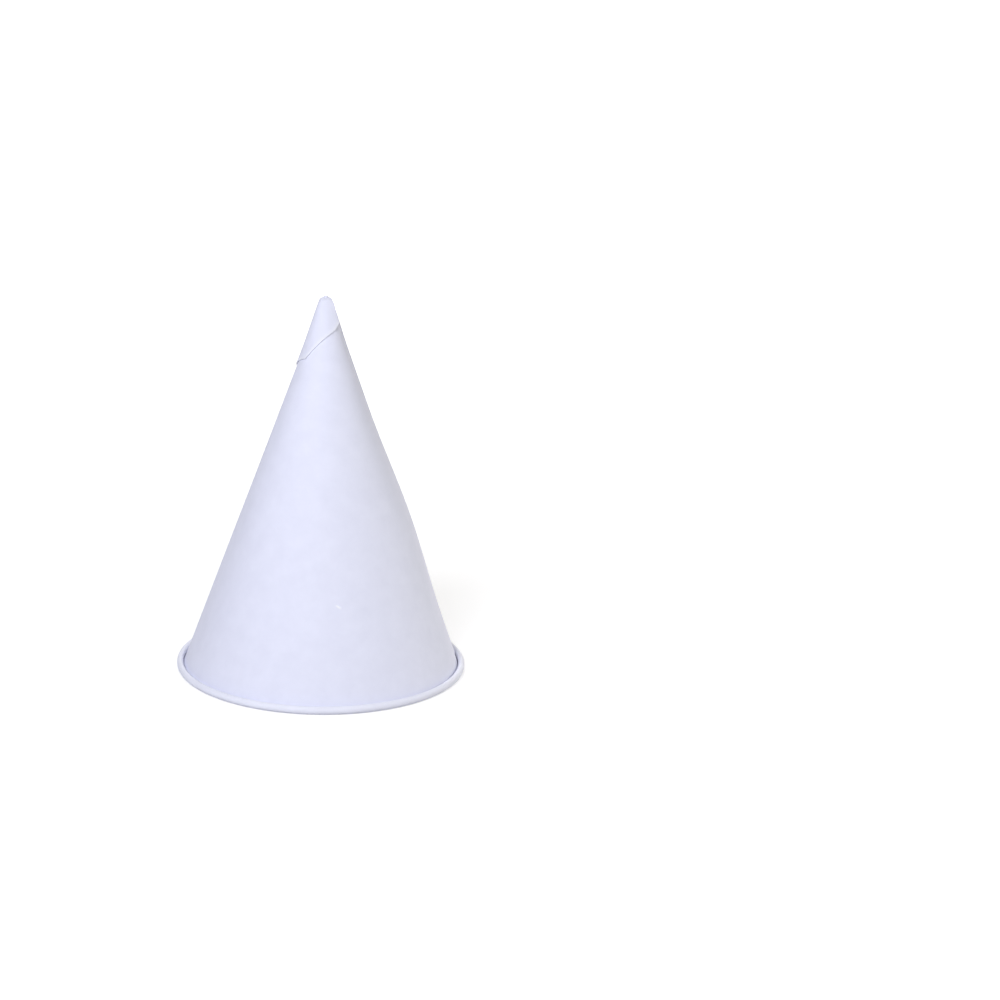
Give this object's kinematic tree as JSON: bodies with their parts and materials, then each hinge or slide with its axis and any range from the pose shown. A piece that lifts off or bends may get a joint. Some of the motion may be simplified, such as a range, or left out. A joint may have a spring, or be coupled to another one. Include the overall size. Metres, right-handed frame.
{
  "type": "cone paper cup",
  "caption": "Cone-shaped paper cup, wound from one sheet with a wrapped point and a rolled rim, standing mouth down.",
  "frame": {"origin": "middle of the mouth, on the plane that the rolled rim stands on", "axes": "+Z from the mouth up to the point, along the cone's axis; -Y is the side that shows the slanting cut of the paper just below the point"},
  "size_m": [0.07, 0.07, 0.0924],
  "materials": {
    "white_paper": "matt uncoated white paper with a faint bluish cast"
  },
  "bodies": {
    "root": {"cup": "white_paper"}
  },
  "joints": []
}
